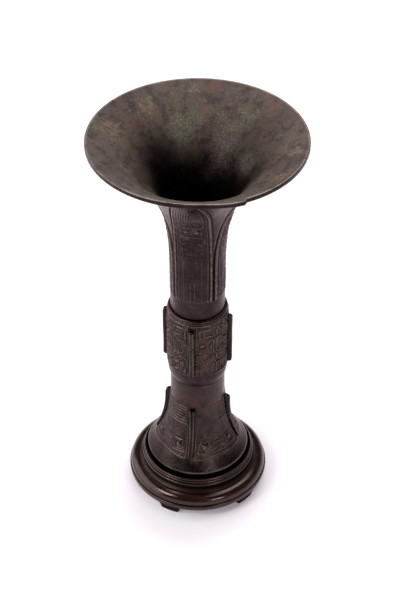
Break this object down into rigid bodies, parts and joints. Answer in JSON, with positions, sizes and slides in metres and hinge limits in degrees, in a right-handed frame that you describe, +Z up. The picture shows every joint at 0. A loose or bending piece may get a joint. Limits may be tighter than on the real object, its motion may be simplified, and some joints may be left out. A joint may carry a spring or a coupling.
{
  "type": "bronze gu vessel",
  "caption": "Tall bronze gu with a trumpet mouth, leaf-panelled neck, flanged knop and flaring foot, standing loose in a turned, footed hardwood stand.",
  "frame": {"origin": "on the floor under the vessel's axis", "axes": "+Z up along the vessel's axis, -Y towards the first flange"},
  "size_m": [0.14, 0.14, 0.2916],
  "materials": {
    "bronze": "dark brown patinated bronze, satin, with ochre and green deposits",
    "hardwood": "very dark reddish-brown hardwood, waxed to a gloss"
  },
  "bodies": {
    "stand": {"stand_base": "hardwood", "stand_collar": "hardwood", "stand_foot_1": "hardwood", "stand_foot_2": "hardwood", "stand_foot_3": "hardwood", "stand_foot_4": "hardwood", "stand_foot_5": "hardwood"},
    "vessel": {"neck_section": "bronze", "knop_section": "bronze", "foot_section": "bronze", "vessel_floor": "bronze", "knop_flange_1": "bronze", "knop_flange_2": "bronze", "knop_flange_3": "bronze", "knop_flange_4": "bronze", "foot_flange_1": "bronze", "foot_flange_2": "bronze", "foot_flange_3": "bronze", "foot_flange_4": "bronze"}
  },
  "joints": [
    {"name": "lift_from_stand", "type": "slide", "parent": "stand", "child": "vessel", "axis": [0, 0, 1], "range_m": [0, 0.06]}
  ]
}
